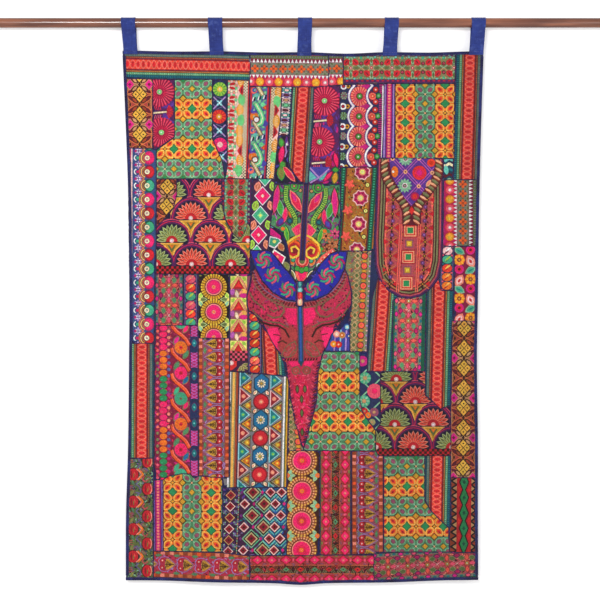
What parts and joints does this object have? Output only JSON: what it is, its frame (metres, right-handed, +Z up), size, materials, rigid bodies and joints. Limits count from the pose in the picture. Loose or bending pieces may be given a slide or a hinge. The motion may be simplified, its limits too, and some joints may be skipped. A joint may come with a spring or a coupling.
{
  "type": "patchwork wall hanging on a wooden rod",
  "caption": "Upright rectangular wall hanging of embroidered patchwork with a blue cotton binding, hung by cloth tabs from a round wooden rod.",
  "frame": {"origin": "the middle of the rod, on its axis", "axes": "+X along the rod, to the right as the patchwork is seen, -Y towards the viewer, +Z up"},
  "size_m": [1.8, 0.0314, 1.6423],
  "materials": {
    "patchwork": "embroidered cotton and silk patchwork",
    "blue_cotton": "plain woven cotton",
    "varnished_wood": "stained and varnished"
  },
  "bodies": {
    "root": {"rod": "varnished_wood", "panel": "patchwork", "binding_top": "blue_cotton", "binding_bottom": "blue_cotton", "binding_left": "blue_cotton", "binding_right": "blue_cotton", "tab_1": "blue_cotton", "tab_2": "blue_cotton", "tab_3": "blue_cotton", "tab_4": "blue_cotton", "tab_5": "blue_cotton"}
  },
  "joints": []
}
